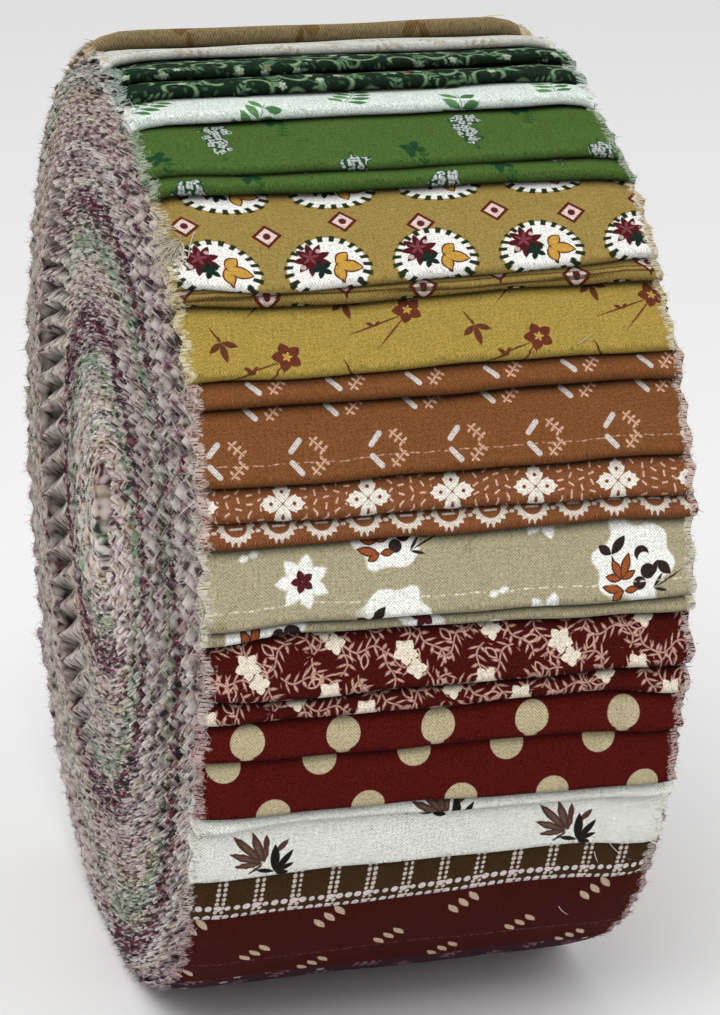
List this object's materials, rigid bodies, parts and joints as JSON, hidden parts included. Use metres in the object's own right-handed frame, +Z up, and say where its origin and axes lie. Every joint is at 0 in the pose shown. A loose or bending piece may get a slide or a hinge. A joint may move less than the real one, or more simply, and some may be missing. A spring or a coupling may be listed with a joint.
{
  "type": "fabric strip roll",
  "caption": "Roll of folded, pinked cotton strips wound up on themselves, standing on its rim, the folded ends lapped over each other round it.",
  "frame": {"origin": "centre of the bounding box on the surface that the roll stands on", "axes": "+X along the roll's axis, to the right as the picture's front is seen; -Y to the front; +Z up"},
  "size_m": [0.0636, 0.1302, 0.1287],
  "materials": {
    "wound_turns": "woven cotton, matte",
    "maroon": "woven cotton, matte",
    "mauve": "woven cotton, matte",
    "brown_check": "woven cotton, matte",
    "gold": "woven cotton, matte",
    "white_motif": "woven cotton, matte",
    "white_sprig": "woven cotton, matte",
    "plum": "woven cotton, matte",
    "rose": "woven cotton, matte",
    "sage": "woven cotton, matte",
    "oat": "woven cotton, matte",
    "tan": "woven cotton, matte",
    "dark_green": "woven cotton, matte",
    "green": "woven cotton, matte",
    "mustard": "woven cotton, matte",
    "rust_ring": "woven cotton, matte",
    "rust_scroll": "woven cotton, matte",
    "beige": "woven cotton, matte",
    "burgundy": "woven cotton, matte",
    "brick_dot": "woven cotton, matte",
    "cream": "woven cotton, matte"
  },
  "bodies": {
    "root": {"roll_body": "wound_turns", "strip_end_01": "maroon", "strip_end_02": "mauve", "strip_end_03": "mauve", "strip_end_04": "maroon", "strip_end_05": "brown_check", "strip_end_06": "gold", "strip_end_07": "white_motif", "strip_end_08": "white_sprig", "strip_end_09": "plum", "strip_end_10": "plum", "strip_end_11": "rose", "strip_end_12": "rose", "strip_end_13": "sage", "strip_end_14": "sage", "strip_end_15": "oat", "strip_end_16": "oat", "strip_end_17": "tan", "strip_end_18": "tan", "strip_end_19": "white_motif", "strip_end_20": "dark_green", "strip_end_21": "dark_green", "strip_end_22": "white_sprig", "strip_end_23": "green", "strip_end_24": "green", "strip_end_25": "mustard", "strip_end_26": "mustard", "strip_end_27": "gold", "strip_end_28": "rust_ring", "strip_end_29": "rust_ring", "strip_end_30": "rust_scroll", "strip_end_31": "rust_scroll", "strip_end_32": "beige", "strip_end_33": "beige", "strip_end_34": "burgundy", "strip_end_35": "burgundy", "strip_end_36": "brick_dot", "strip_end_37": "brick_dot", "strip_end_38": "cream", "strip_end_39": "cream", "strip_end_40": "brown_check"}
  },
  "joints": []
}
